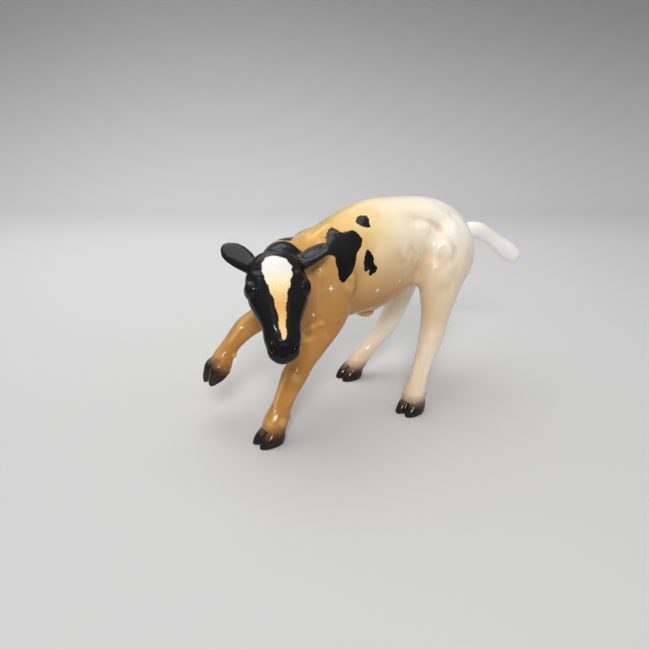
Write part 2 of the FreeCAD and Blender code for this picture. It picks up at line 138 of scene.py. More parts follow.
# %% [markdown]
# ## One lump of clay
#
# The solids are skins of flat facets. A sculptor would start from one soft lump, so each facet is
# bulged to the curve that its corner normals describe (Phong tessellation), and a voxel remesh
# welds all the pieces into one even skin, fine enough to carve eyelids and wrinkles into.

# %% Bulge the facets
FACET_STEPS = 4
BULGE_SHARE = 0.75
SHARP_DEGREES = 50.0
WELD_MM = 0.0005


def read_mesh(mesh):
    """Points and triangles of a mesh as arrays."""
    mesh.calc_loop_triangles()
    places = np.empty(len(mesh.vertices) * 3)
    mesh.vertices.foreach_get("co", places)
    corners = np.empty(len(mesh.loop_triangles) * 3, np.int32)
    mesh.loop_triangles.foreach_get("vertices", corners)
    return places.reshape(-1, 3), corners.reshape(-1, 3)


def node_triangles(name):
    """A node's merged points in figure millimetres, and its triangles."""
    places, corners = read_mesh(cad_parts[name].data)
    places = to_figure(places)
    keys = np.round(places / WELD_MM).astype(np.int64)
    _, first, back = np.unique(keys, axis=0, return_index=True, return_inverse=True)
    triangles = back.ravel()[corners]
    a, b, c = triangles.T
    return places[first], triangles[(a != b) & (b != c) & (c != a)]


def bulged(name):
    """A node's triangles cut finer and bulged to their corner normals, as loose triangles."""
    places, triangles = node_triangles(name)
    mesh = bpy.data.meshes.new("bulge")
    mesh.from_pydata(places.tolist(), [], triangles.tolist())
    mesh.shade_smooth()
    mesh.set_sharp_from_angle(angle=math.radians(SHARP_DEGREES))
    normals = np.empty(len(mesh.corner_normals) * 3)
    mesh.corner_normals.foreach_get("vector", normals)
    bpy.data.meshes.remove(mesh)
    corner = places[triangles]
    normal = normals.reshape(-1, 3, 3)
    steps = FACET_STEPS
    grid = {}
    points = []
    for i in range(steps + 1):
        for j in range(steps + 1 - i):
            weight = np.array([steps - i - j, i, j]) / steps
            flat = np.einsum("k,nkd->nd", weight, corner)
            off = np.einsum("nkd,nkd->nk", flat[:, None] - corner, normal)
            round_off = np.einsum("k,nk,nkd->nd", weight, off, normal)
            grid[i, j] = len(points)
            points.append(flat - BULGE_SHARE * round_off)
    cells = [(grid[i, j], grid[i + 1, j], grid[i, j + 1])
             for i in range(steps) for j in range(steps - i)]
    cells += [(grid[i + 1, j], grid[i + 1, j + 1], grid[i, j + 1])
              for i in range(steps - 1) for j in range(steps - 1 - i)]
    points = np.stack(points, 1)
    offsets = np.arange(len(triangles))[:, None, None] * points.shape[1]
    return points.reshape(-1, 3), (np.array(cells)[None] + offsets).reshape(-1, 3)


# %% Weld the lump
VOXEL_MM = 0.36


def new_object(name, places, faces):
    """A mesh object from points and faces; it rides on nothing yet."""
    mesh = bpy.data.meshes.new(name)
    mesh.from_pydata(np.asarray(places).tolist(), [], np.asarray(faces).tolist())
    made = bpy.data.objects.new(name, mesh)
    bpy.context.scene.collection.objects.link(made)
    return made


def evaluated_mesh(made):
    """An object's mesh as its modifiers leave it."""
    graph = bpy.context.evaluated_depsgraph_get()
    return bpy.data.meshes.new_from_object(made.evaluated_get(graph))


def joined(parts):
    """Several lots of points and triangles as one lot."""
    starts = np.cumsum([0] + [len(places) for places, _ in parts[:-1]])
    return (np.concatenate([places for places, _ in parts]),
            np.concatenate([faces + start for (_, faces), start in zip(parts, starts)]))


def welded_lump():
    """All nodes in one even skin, in figure millimetres."""
    soup = new_object("soup", *joined([bulged(name) for name in node_names]))
    remesh = soup.modifiers.new("weld", "REMESH")
    remesh.mode = "VOXEL"
    remesh.voxel_size = VOXEL_MM
    mesh = evaluated_mesh(soup)
    bpy.data.objects.remove(soup)
    places, faces = read_mesh(mesh)
    bpy.data.meshes.remove(mesh)
    return largest_island(places, faces)


def largest_island(places, faces):
    """Only the outer skin: the biggest connected part of a mesh."""
    label = np.arange(len(places))
    while True:
        lowest = label[faces].min(1)
        merged = label.copy()
        for corner in range(3):
            np.minimum.at(merged, faces[:, corner], lowest)
        merged = merged[merged]
        if np.array_equal(merged, label):
            break
        label = merged
    names, counts = np.unique(label[faces[:, 0]], return_counts=True)
    outer = names[counts.argmax()]
    faces = faces[label[faces[:, 0]] == outer]
    used, back = np.unique(faces, return_inverse=True)
    return places[used], back.reshape(-1, 3)


skin, facets = welded_lump()
print("lump:", len(skin), "points", len(facets), "triangles", skin.min(0), skin.max(0))

# %% [markdown]
# The remesh leaves faint steps, and the bulged facets still show as flats. Rubbing the clay with a
# damp finger takes both away: every point moves a little towards the mean of its neighbours. Plain
# smoothing also thins the legs, so each round pushes back out by nearly as much as it pulled in.

# %% Smooth the clay
PULL = 0.6
PUSH = -0.58
SMOOTH_ROUNDS = 60


def edges_of(faces):
    """The three edges of every triangle, each in the triangle's direction."""
    return np.concatenate([faces[:, [0, 1]], faces[:, [1, 2]], faces[:, [2, 0]]])


def make_links(faces, count):
    """Every point's neighbours, sorted by point, for fast averages."""
    edges = np.unique(np.sort(edges_of(faces), 1), axis=0)
    pairs = np.concatenate([edges, edges[:, ::-1]])
    pairs = pairs[np.argsort(pairs[:, 0], kind="stable")]
    starts = np.searchsorted(pairs[:, 0], np.arange(count))
    degrees = np.bincount(pairs[:, 0], minlength=count)
    return pairs[:, 1], starts, degrees


def averaged(values):
    """The mean of each point's neighbours."""
    others, starts, degrees = links
    sums = np.add.reduceat(values[others], starts, axis=0)
    return sums / (degrees if values.ndim == 1 else degrees[:, None])


def rubbed(places, rounds, steps, share=1.0):
    """Points moved to their neighbours' mean by each step in turn, times a share for each point."""
    for _ in range(rounds):
        for step in steps:
            places = places + step * share * (averaged(places) - places)
    return places


def spread(values, rounds):
    """Values that soak into their neighbours, as wet paint does."""
    for _ in range(rounds):
        values = 0.5 * values + 0.5 * averaged(values)
    return values


def point_normals(places, faces):
    """Unit normals of the points, weighted by the triangles' areas."""
    a, b, c = (places[faces[:, k]] for k in range(3))
    across = np.cross(b - a, c - a)
    total = np.zeros_like(places)
    for column in range(3):
        for axis in range(3):
            total[:, axis] += np.bincount(faces[:, column], across[:, axis], len(places))
    return total / np.linalg.norm(total, axis=1)[:, None]


links = make_links(facets, len(skin))
skin = rubbed(skin, SMOOTH_ROUNDS, (PULL, PUSH))
normals = point_normals(skin, facets)
print("smoothed, box:", skin.min(0).round(2), skin.max(0).round(2))

# %% [markdown]
# On the real toy a smear of filler hides each joint where a leg meets the trunk. Here the points
# near those joints, and only they, get a long plain smoothing, which fills the creases as the filler
# does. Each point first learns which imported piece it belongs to: the one whose surface is nearest
# to a spot just outside the skin, so that pegs and walls inside the toy never win.

# %% Name each point's piece
OUTWARD_MM = 0.9
OWNER_SOAK = 6


def surface_tree(places, faces):
    """A search tree for rays and nearest points of a surface."""
    return BVHTree.FromPolygons(places.tolist(), faces.tolist())


def piece_of_points(places):
    """The index in node_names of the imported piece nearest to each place."""
    parts = [node_triangles(name) for name in node_names]
    owners = np.repeat(np.arange(len(parts)), [len(faces) for _, faces in parts])
    tree = surface_tree(*joined(parts))
    return owners[[tree.find_nearest(place)[2] for place in places.tolist()]]


owner = piece_of_points(skin + OUTWARD_MM * normals)
# A stray point joins the piece that most of its neighbours belong to.
owner = np.argmax([spread((owner == k).astype(float), OWNER_SOAK) for k in range(len(node_names))], axis=0)
print("points of each piece:", dict(zip(node_names, np.bincount(owner).tolist())))

# %% Fill the joints
LEG_FILLER = {"soak": 60, "gain": 12, "rounds": 160}
SMALL_FILLER = {"soak": 16, "gain": 6, "rounds": 30}


def seam(first, second):
    """One at the points where two kinds of piece meet, and zero elsewhere."""
    kinds = np.array([name.startswith(first) + 2 * name.startswith(second) for name in node_names])
    kinds = kinds[owner][facets]
    touched = np.zeros(len(skin))
    touched[facets[(kinds.min(1) == 1) & (kinds.max(1) == 2)]] = 1.0
    return touched


def filled(seams, soak, gain, rounds):
    """The skin with filler on its seams: how far it soaks, how strong it is, how often rubbed."""
    share = np.clip(spread(seams, soak) * gain, 0, 1)
    return rubbed(skin, rounds, (PULL,), share[:, None])


skin = filled(seam("body", ("foreleg", "hindleg")), **LEG_FILLER)
skin = filled(seam("body", ("tail", "head")) + seam("head", "ear"), **SMALL_FILLER)
normals = point_normals(skin, facets)
print("filled, box:", skin.min(0).round(2), skin.max(0).round(2))

# %% [markdown]
# ## Carving
#
# Muscles, folds and bones are strokes over the clay: a stroke follows a line of points and lifts
# or presses the skin along its normals, fading to both sides and at its ends. What the photograph
# shows is placed by its pixels, and a row of a table holds the pixels, the width and the height.

# %% Carving tools
LINE_STEP_MM = 0.5
END_FADE = 0.35
STROKE_REACH = 3
NORMAL_SAMPLES = 8
FACING_MIN = -0.2
tree_of_skin = surface_tree(skin, facets)


def seen(px, py):
    """The point of the clay that the camera sees at a pixel, or the nearest one to it."""
    hit = tree_of_skin.ray_cast(Vector(CAMERA_PLACE), Vector(pixel_ray(px, py)))[0]
    if hit is None:
        apart = pixels_of(skin) - (px, py)
        hit = skin[np.argmin((apart ** 2).sum(1))]
    return np.array(hit)


def facing(point):
    """The skin's normal at the point nearest to a place."""
    return normals[np.argmin(((skin - point) ** 2).sum(1))]


def seen_line(pixels):
    """The clay under a line of pixels."""
    return [seen(*pixel) for pixel in pixels]


def nearest_skin(places):
    """The clay's points nearest to some places."""
    return [np.array(tree_of_skin.find_nearest(Vector(place))[0]) for place in places]


def mirrored(points):
    """The same line on the other side of the trunk."""
    return nearest_skin(np.array(points) * [1, -1, 1])


def dense(points):
    """A line with points close together, and each one's share of the way along."""
    points = np.array(points)
    apart = np.linalg.norm(np.diff(points, axis=0), axis=1)
    along = np.concatenate([[0], np.cumsum(apart)])
    where = np.linspace(0, along[-1], max(2, int(along[-1] / LINE_STEP_MM)))
    line = np.column_stack([np.interp(where, along, points[:, k]) for k in range(3)])
    return line, where / max(along[-1], 1e-9)


def stroke(points, width, height, fade=END_FADE):
    """One stroke's lift, in mm along each point's normal."""
    line, share = dense(points)
    strength = np.clip(np.minimum(share, 1 - share) / fade, 0, 1)
    strength = strength * strength * (3 - 2 * strength)
    outward = np.mean([facing(p) for p in line[::max(1, len(line) // NORMAL_SAMPLES)]], axis=0)
    outward /= np.linalg.norm(outward)
    reach = STROKE_REACH * width
    near = np.flatnonzero(((skin > line.min(0) - reach) & (skin < line.max(0) + reach)).all(1))
    near = near[normals[near] @ outward > FACING_MIN]
    apart = ((skin[near][:, None] - line[None]) ** 2).sum(2)
    lift = np.zeros(len(skin))
    lift[near] = height * strength[apart.argmin(1)] * np.exp(-apart.min(1) / (2 * width * width))
    return lift


def bump(point, radius, height):
    """The lift of a round swelling or dimple."""
    lift = height * np.exp(-((skin - point) ** 2).sum(1) / (2 * radius * radius))
    return lift * (normals @ facing(point) > FACING_MIN)


def carved(strokes, bumps, far_too=False):
    """The lift of strokes and bumps placed by pixels, if wanted on the calf's far side as well."""
    lift = np.zeros(len(skin))
    for laid in (list, mirrored) if far_too else (list,):
        for pixels, width, height in strokes:
            lift += stroke(laid(seen_line(pixels)), width, height)
        for pixel, radius, height in bumps:
            lift += bump(laid([seen(*pixel)])[0], radius, height)
    return lift


# %% [markdown]
# A calf's hindquarters show the hook bone, the rump muscle and the stifle fold, with shallow ribs in
# front of them. They are the same on both sides. The shoulder, the neck folds, the skin between the
# forelegs and the navel follow the photograph, and belong to the side that it shows, because the
# bent neck bunches the skin on one side and stretches it on the other.

# %% Hindquarters and flank, on both sides
# Each stroke: pixels, width and height in mm. Each bump: a pixel, radius and height in mm.
HIND_STROKES = [
    ([(407, 212), (420, 209.5), (434, 211.5), (446, 218), (453, 227), (456, 238), (456, 247)], 2.2, 0.9),
    ([(402, 218), (417, 218), (429, 220), (437, 224), (444, 231), (449, 237), (452, 244)], 2.3, -1.3),
    ([(415, 225), (424, 227), (433, 231)], 2.0, 0.5),
    ([(439, 238), (446, 244), (450, 250), (453, 259)], 1.3, 0.9),
    ([(436, 250), (441, 258), (445, 264), (448, 271)], 2.0, -0.7),
    ([(431, 256), (434, 264), (439, 272)], 1.6, 0.5),
    ([(460, 242), (457, 250), (455, 257), (452, 267)], 2.0, -0.6),
    ([(435, 238), (430, 250), (426, 260), (421, 268), (415, 277), (411, 283)], 2.4, -1.1),
    ([(434, 287), (444, 289.5), (454, 285)], 2.0, -0.6),
    ([(407, 243), (413, 250), (420, 258)], 1.7, -0.35),
    ([(402, 245), (408, 253), (414, 262)], 1.6, 0.55),
    ([(396, 248), (401, 257), (407, 267)], 1.7, -0.35),
    ([(416, 282), (404, 290), (393, 298), (383, 306)], 0.8, -0.5),
]
HIND_BUMPS = [((443, 277), 3.4, 0.9), ((425, 226), 2.6, 0.4)]
move = carved(HIND_STROKES, HIND_BUMPS, far_too=True)
print("hindquarters, lift", round(move.min(), 2), round(move.max(), 2))

# %% Shoulder, neck and belly, on the near side
FRONT_STROKES = [
    ([(366, 231), (371, 243), (373, 254), (371, 266), (365, 278), (358, 289)], 2.8, -1.1),
    ([(360, 284), (355, 293), (352, 303), (350, 311)], 1.3, -0.8),
    ([(336, 219), (326, 228), (317, 237), (309, 246)], 1.8, 1.1),
    ([(333, 227), (323, 236), (316, 243), (310, 250)], 1.5, -0.9),
    ([(345, 296), (349, 288), (351, 278), (350, 268)], 2.4, 0.9),
    ([(313, 262), (318, 272), (320, 284)], 2.2, 0.6),
    ([(313, 250), (318, 247), (322, 243)], 0.7, -0.5),
    ([(316, 253), (322, 250), (328, 247)], 0.7, -0.4),
    ([(318, 268), (323, 282), (324, 298), (322, 314)], 2.6, -0.5),
    ([(345, 318), (338, 326), (327, 338)], 1.6, -0.5),
    ([(301, 337), (309, 333), (318, 329), (328, 326), (341, 325)], 1.1, -1.0),
    ([(308, 329), (318, 325), (329, 321)], 1.6, 0.7),
]
FRONT_BUMPS = [((323, 283), 1.0, -0.3), ((372, 312), 3.4, 1.7), ((306, 333), 2.4, 1.8)]
move += carved(FRONT_STROKES, FRONT_BUMPS)
print("front, lift", round(move.min(), 2), round(move.max(), 2))

# %% [markdown]
# On the legs the tendons stand out behind the bones, and the knees and fetlocks swell. Two dewclaws
# sit behind each fetlock: small horns that a mould leaves as plain buttons. The lifted foot shows
# one of its pair.

# %% Legs
LEG_STROKES = [
    ([(291, 364), (286, 376), (281, 388), (276, 401), (274, 412), (271, 430)], 0.6, 0.4),
    ([(303, 384), (296, 398), (289, 411)], 0.9, -0.5),
    ([(367, 344), (358, 357), (353, 365), (351, 371)], 0.6, 0.4),
    ([(246, 318), (236, 333), (226, 347)], 0.8, 0.4),
    ([(430, 350), (424, 372), (420, 394)], 0.9, -0.5),
    ([(417, 352), (414, 372), (409, 392)], 0.9, 0.3),
]
LEG_BUMPS = [((295, 377), 1.7, 0.6), ((283, 423), 1.4, 0.5), ((270, 425), 1.4, 0.4), ((432, 336), 2.0, 0.6),
             ((234, 355), 0.9, 1.1)]
FETLOCKS = [(-26.0, -12.5), (37.0, -17.0), (33.5, 25.0)]
DEWCLAW_BEHIND_MM = 7.0
DEWCLAW_ASIDE_MM = 2.3
DEWCLAW_UP_MM = 8.5
DEWCLAW_RADIUS_MM = 0.85
DEWCLAW_LIFT_MM = 1.0

move += carved(LEG_STROKES, LEG_BUMPS)
for x, y in FETLOCKS:
    for aside in (-DEWCLAW_ASIDE_MM, DEWCLAW_ASIDE_MM):
        claw = nearest_skin([(x + DEWCLAW_BEHIND_MM, y + aside, DEWCLAW_UP_MM)])[0]
        move += bump(claw, DEWCLAW_RADIUS_MM, DEWCLAW_LIFT_MM)
skin = skin + normals * move[:, None]
normals = point_normals(skin, facets)
print("body carved, lift", round(move.min(), 2), round(move.max(), 2))

# %% [markdown]
# ## The head
#
# The head is turned and tipped, so its details are placed in its own directions: down the face, out
# to its left, and up off the face line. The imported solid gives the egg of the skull, the muzzle and
# two balls for the eyes. Carving adds lids, brows, the bridge of the nose, nostrils and the mouth.

# %% The head's own directions
HEAD_TURN = math.radians(70.5)
HEAD_DROP = math.radians(49.0)
HEAD_LENGTH_MM = 38.0
POLL = np.array([-26.7, -15.7, 76.2])
DOWN_FACE = np.array([-math.cos(HEAD_TURN) * math.cos(HEAD_DROP),
                      -math.sin(HEAD_TURN) * math.cos(HEAD_DROP), -math.sin(HEAD_DROP)])
HEAD_LEFT = np.array([math.sin(HEAD_TURN), -math.cos(HEAD_TURN), 0.0])
OFF_FACE = np.cross(DOWN_FACE, HEAD_LEFT)


def head_line(shares, hand):
    """Skin points nearest to places on one side of the head, in shares of its length."""
    directions = np.array([DOWN_FACE, hand * HEAD_LEFT, OFF_FACE])
    return nearest_skin(POLL + HEAD_LENGTH_MM * np.array(shares) @ directions)


print("the face looks along", OFF_FACE.round(2))

# %% Carve the head
# Both sides get every row, so a bump on the middle line is laid twice, at half its height.
HEAD_FADE = 0.25
HEAD_STROKES = [
    ([(0.22, 0.17, 0.10), (0.29, 0.21, 0.07), (0.36, 0.225, 0.06), (0.43, 0.20, 0.06)], 1.2, 0.7),
    ([(0.28, 0.25, 0.0), (0.31, 0.27, 0.035), (0.36, 0.285, 0.045),
      (0.41, 0.27, 0.03), (0.44, 0.25, 0.0)], 0.5, 0.45),
    ([(0.29, 0.25, -0.04), (0.35, 0.27, -0.075), (0.42, 0.25, -0.04)], 0.5, 0.35),
    ([(0.45, 0.10, 0.09), (0.58, 0.09, 0.08), (0.72, 0.085, 0.07), (0.82, 0.09, 0.06)], 0.9, 0.35),
    ([(0.86, 0.11, 0.05), (0.91, 0.13, 0.02), (0.95, 0.13, -0.02)], 0.9, 0.35),
    ([(0.90, 0.105, 0.035), (0.94, 0.10, 0.015), (0.965, 0.075, -0.01)], 0.5, -0.9),
    ([(0.80, 0.17, -0.09), (0.90, 0.16, -0.085), (0.97, 0.11, -0.08), (1.01, 0.0, -0.08)], 0.45, -0.45),
    ([(0.30, 0.22, -0.12), (0.36, 0.21, -0.22), (0.30, 0.18, -0.30)], 2.2, 0.5),
    ([(0.52, 0.16, -0.16), (0.66, 0.13, -0.15), (0.78, 0.12, -0.14)], 1.2, -0.4),
]
HEAD_BUMPS = [
    ((0.24, 0.26, -0.03), 3.2, 1.0),
    ((0.47, 0.25, -0.05), 3.2, 1.4),
    ((0.62, 0.19, -0.07), 3.8, 1.2),
    ((0.93, 0.19, -0.05), 2.2, -1.0),
    ((0.20, 0.0, 0.12), 3.2, -0.175),
]
NOSE_TOP_STROKE = ([(274.5, 343), (279, 341), (284, 340.5), (289, 341), (292, 342.5)], 0.9, 0.5)
CHIN_BUMP = ((283, 361), 2.0, 1.0)

tree_of_skin = surface_tree(skin, facets)
move = carved([NOSE_TOP_STROKE], [CHIN_BUMP])
for hand in (-1, 1):
    for share, radius, height in HEAD_BUMPS:
        move += bump(head_line([share], hand)[0], radius, height)
    for shares, width, height in HEAD_STROKES:
        move += stroke(head_line(shares, hand), width, height, HEAD_FADE)
skin = skin + normals * move[:, None]
normals = point_normals(skin, facets)
tree_of_skin = surface_tree(skin, facets)
print("head carved, lift", round(move.min(), 2), round(move.max(), 2))

# %% [markdown]
# ## Where the paint goes
#
# The factory sprays the coat in fades, dips the hooves in a dark mist, and brushes the patches and
# the blaze by hand. The shaders below need to know how far each point is from those shapes, so
# every point stores signed distances in millimetres: below zero inside a shape, above it outside.

# %% Distances to painted shapes
FAR_MM = 30.0
CORNER_CUT = 0.2
CORNER_ROUNDS = 2
PATCH_MARGIN_MM = 8.0
BESIDE_MM = 90.0
ABOVE_MM = 150.0


def outline_distance(points, outline):
    """Signed distance of flat points to a closed outline: negative inside."""
    outline = np.asarray(outline, float)
    inside = np.zeros(len(points), bool)
    nearest = np.full(len(points), np.inf)
    for start, end in zip(outline, np.roll(outline, -1, axis=0)):
        edge = end - start
        share = np.clip((points - start) @ edge / (edge @ edge), 0, 1)
        nearest = np.minimum(nearest, np.linalg.norm(points - start - share[:, None] * edge, axis=1))
        crosses = (start[1] > points[:, 1]) != (end[1] > points[:, 1])
        slope = edge[0] / (edge[1] if edge[1] else 1e-9)
        inside ^= crosses & (points[:, 0] < start[0] + slope * (points[:, 1] - start[1]))
    return np.where(inside, -nearest, nearest)


def rounded(outline):
    """A closed outline with its corners cut, so that it looks brushed."""
    outline = np.asarray(outline, float)
    for _ in range(CORNER_ROUNDS):
        onward = np.roll(outline, -1, axis=0)
        step = CORNER_CUT * (onward - outline)
        outline = np.stack([outline + step, onward - step], 1)
        outline = outline.reshape(-1, outline.shape[-1])
    return outline


def patch_distance(outline):
    """Signed distance to a patch whose outline lies on the skin."""
    outline = rounded(outline)
    middle = outline.mean(0)
    _, _, axes = np.linalg.svd(outline - middle)
    outward = facing(middle)
    apart = skin - middle
    reach = np.abs(outline - middle).max() + PATCH_MARGIN_MM
    near = np.flatnonzero((np.linalg.norm(apart, axis=1) < reach) & (normals @ outward > 0))
    distance = np.full(len(skin), FAR_MM)
    distance[near] = outline_distance(apart[near] @ axes[:2].T, (outline - middle) @ axes[:2].T)
    return distance


def struck(starts, direction):
    """The skin points that rays meet, one from each start, all in one direction."""
    hits = [tree_of_skin.ray_cast(Vector(start), Vector(direction))[0] for start in starts]
    return [np.array(hit) for hit in hits if hit is not None]


def from_side(places):
    """Skin points on the calf's right, under places given by x and z."""
    return struck([(x, BESIDE_MM, z) for x, z in places], (0, -1, 0))


def from_above(places):
    """Skin points under places given by x and y."""
    return struck([(x, y, ABOVE_MM) for x, y in places], (0, 0, -1))


# %% [markdown]
# The black patches have the ragged outlines of dairy cattle, and no two are alike. Those on the near
# side are traced by their corners in the photograph. Of those on the crest only the upper edges show
# there, and of the far side nothing, so these are a guess, laid from above and from the side.

# %% Black patches
SHOULDER_PATCH = [(326.5, 241), (327, 232), (331.5, 226.5), (336, 229), (340.5, 232.5), (345, 232),
                  (352, 229.5), (358.5, 233.5), (363, 240.5), (361, 248), (357, 252.5), (356, 261.5),
                  (353.5, 270.5), (348, 278), (343, 284), (338.5, 278), (337.5, 269), (335.5, 261.5),
                  (335, 255), (330, 249)]
WITHERS_PATCH = [(357, 216.5), (361.5, 215.5), (366.5, 215.5), (369.3, 219), (368.6, 222.5),
                 (370.8, 227.5), (368, 228), (363.5, 227), (357, 224), (355.5, 221)]
RIB_PATCH = [(367.5, 248.5), (371, 252.5), (374.5, 258), (373.5, 262.5), (377.7, 268), (375.5, 272.5),
             (369.5, 276.5), (368.5, 273.5), (370, 269.5), (364.5, 272), (363.5, 263), (364.3, 256)]
FAR_PATCHES = [
    [(-7, 80), (0, 84), (8, 81), (13, 74), (10, 66), (4, 58), (1, 64), (-4, 67), (-9, 73)],
    [(26, 79), (33, 80), (36, 75), (31, 70), (25, 73)],
    [(17, 57), (21, 62), (25, 58), (24, 50), (19, 46), (17, 51)],
]
CREST_PATCHES = [
    [(-1, 9), (1, 4.5), (4, 3), (7.5, 4.5), (9, 9), (6, 13), (1, 13)],
    [(-19, -9), (-16.5, -9), (-12.5, -3), (-10, 1), (-13, 4), (-18, 0), (-21, -6)],
]
outlines = [seen_line(pixels) for pixels in (SHOULDER_PATCH, WITHERS_PATCH, RIB_PATCH)]
outlines += [from_side(places) for places in FAR_PATCHES]
outlines += [from_above(places) for places in CREST_PATCHES]
patch_mm = np.min([patch_distance(outline) for outline in outlines], axis=0)
print("points under black patches:", int((patch_mm < 0).sum()))

# %% [markdown]
# The blaze is a common cattle marking: a ragged white forehead that narrows to a strip down the nose.
# It is brushed by hand, so its edge wanders: each row of the table gives the edge on both sides of
# the face. The hooves are dark from the tip up, and the head's black ends in a soft spray behind it.

# %% Blaze, hooves and the head's black
# The blaze: share down the face, and its edge to the head's left and right, in shares.
BLAZE_ROWS = [(0.080, -0.02, 0.05), (0.095, 0.03, 0.10), (0.12, 0.095, 0.105), (0.15, 0.100, 0.135),
              (0.19, 0.140, 0.128), (0.23, 0.122, 0.142), (0.28, 0.138, 0.120), (0.33, 0.104, 0.118),
              (0.38, 0.106, 0.088), (0.44, 0.068, 0.086), (0.50, 0.066, 0.050), (0.58, 0.040, 0.052),
              (0.66, 0.042, 0.024), (0.74, 0.022, 0.038), (0.81, 0.034, 0.020), (0.88, 0.012, 0.014)]
# Each hoof: the tip or sole, and the way up the pastern.
UPWARD = np.array([0.0, 0.0, 1.0])
LIFTED_TIP = seen(210, 379)
LIFTED_WAY = seen(229, 352) - LIFTED_TIP
HOOVES = [(np.array([-30.0, -12.0, 0.0]), UPWARD), (np.array([33.6, -17.4, 0.0]), UPWARD),
          (np.array([29.6, 25.5, 0.0]), UPWARD), (LIFTED_TIP, LIFTED_WAY / np.linalg.norm(LIFTED_WAY))]
HOOF_REACH_MM = 13.0
HOOF_BELOW_MM = -8.0
BLACK_FROM_MM = -7.0
BLAZE_FACING_MIN = 0.05
BLAZE_DEEPEST_MM = -6.0
HEAD_SOAK = 30
FORELEG_SOAK = 160


def up_the_hoof(tip, way):
    """How far up a pastern each point is, or far off where it belongs to something else."""
    up = (skin - tip) @ way
    off_axis = np.linalg.norm(skin - tip - up[:, None] * way, axis=1)
    return np.where((off_axis < HOOF_REACH_MM) & (up > HOOF_BELOW_MM), up, FAR_MM)


def on_nodes(prefix):
    """Which points belong to the pieces whose names begin so."""
    return np.array([name.startswith(prefix) for name in node_names])[owner]


apart = skin - POLL
face_down = apart @ DOWN_FACE
flat = np.column_stack([face_down, apart @ HEAD_LEFT])
outline = ([(down, left) for down, left, right in BLAZE_ROWS]
           + [(down, -right) for down, left, right in reversed(BLAZE_ROWS)])
blaze_mm = outline_distance(flat, rounded(np.array(outline) * HEAD_LENGTH_MM))
on_face = (normals @ OFF_FACE > BLAZE_FACING_MIN) & (apart @ OFF_FACE > BLAZE_DEEPEST_MM)
blaze_mm = np.where(on_face, blaze_mm, FAR_MM)
hoof_mm = np.min([up_the_hoof(tip, way) for tip, way in HOOVES], axis=0)
black_head = on_nodes("ear") | (on_nodes("head") & (face_down > BLACK_FROM_MM))
head_share = spread(black_head.astype(float), HEAD_SOAK)
foreleg_share = spread(on_nodes("foreleg").astype(float), FORELEG_SOAK)
print("points under the blaze:", int((blaze_mm < 0).sum()))

# %% [markdown]
# Creases get a painted shade of tan, and the forms that stand out get a painted highlight. How deep
# a point lies comes from comparing the skin with the same skin rubbed flat.

# %% Creases
CALM_ROUNDS = 24
CREASE_SOAK = 3

calm = rubbed(skin, CALM_ROUNDS, (PULL,))
crease_mm = spread(((calm - skin) * normals).sum(1), CREASE_SOAK)
print("crease depth in mm:", np.percentile(crease_mm, [1, 50, 99]).round(3))

# %% [markdown]
# ## The painted pieces
#
# The sculpted skin is cut back into the pieces that the toy is assembled from. Every piece has to be
# a closed body, so walls run inward from its open rims to the middle of the figure, where they end
# in a floor. Each piece keeps the whole skin's normals, so the joints don't show, as they don't on
# the toy, where filler and paint cover them.

# %% Rims of a cut piece
def open_edges(faces):
    """The edges that only one triangle has, each in that triangle's direction."""
    edges = {(a, b) for a, b in edges_of(faces).tolist()}
    return [(a, b) for a, b in edges if (b, a) not in edges]


def rims_of(edges):
    """The open edges chained into closed rims."""
    onward = {}
    for start, end in sorted(edges):
        onward.setdefault(start, []).append(end)
    rims = []
    while onward:
        first = at = min(onward)
        rim = []
        while at in onward and not (rim and at == first):
            rim.append(at)
            ends = onward[at]
            step = ends.pop()
            if not ends:
                del onward[at]
            at = step
        rims.append(rim)
    return rims


# %% [markdown]
# A rim is a bent loop, so a fan from one point could cross itself. The floor is a ladder instead: it
# starts at one point of the rim, goes on along both sides, and takes the shorter rung each time. Of
# ladders from several starts, the one with the shortest rungs in all is kept.

# %% Walls inside the joints
START_BELOW_MM = 0.05
INNER_SHARE = 0.46
LADDER_STARTS = 40


def ladder(rim, corners, start):
    """Triangles across a closed rim from one point of it, and how long their rungs are in all."""
    places = np.roll(corners, -start, axis=0).tolist()
    rim = np.roll(rim, -start)
    ahead, behind, total = 1, len(rim) - 1, 0.0
    rungs = [(rim[ahead], rim[0], rim[behind])]
    while behind - ahead > 1:
        forth = math.dist(places[ahead + 1], places[behind])
        back = math.dist(places[behind - 1], places[ahead])
        if forth <= back:
            rungs.append((rim[ahead + 1], rim[ahead], rim[behind]))
            ahead += 1
        else:
            rungs.append((rim[ahead], rim[behind], rim[behind - 1]))
            behind -= 1
        total += min(forth, back) ** 2
    return total, rungs


def shortest_ladder(rim, corners):
    """The ladder with the shortest rungs, out of several starts."""
    starts = range(0, len(rim), max(1, len(rim) // LADDER_STARTS))
    return min((ladder(rim, corners, start) for start in starts), key=lambda found: found[0])[1]


def half_way_through(point, normal):
    """The place nearly half way through the figure, straight behind a point of its skin."""
    start = point - START_BELOW_MM * normal
    distance = tree_of_skin.ray_cast(Vector(start), Vector(-normal))[3]
    return start - INNER_SHARE * (distance or 0.0) * normal


def joint_walls(faces, places, outward):
    """Walls from each open rim to the middle of the figure: their points, sources and triangles."""
    middles, sources, walls = [], [], []
    for rim in rims_of(open_edges(faces)):
        inner = np.array([half_way_through(places[k], outward[k]) for k in rim])
        inner_ids = len(places) + len(sources) + np.arange(len(rim))
        for a, b, inner_a, inner_b in zip(rim, np.roll(rim, -1), inner_ids, np.roll(inner_ids, -1)):
            walls += [(b, a, inner_a), (b, inner_a, inner_b)]
        walls += shortest_ladder(inner_ids, inner)
        middles.append(inner)
        sources += list(rim)
    return np.concatenate(middles), np.array(sources), np.array(walls)


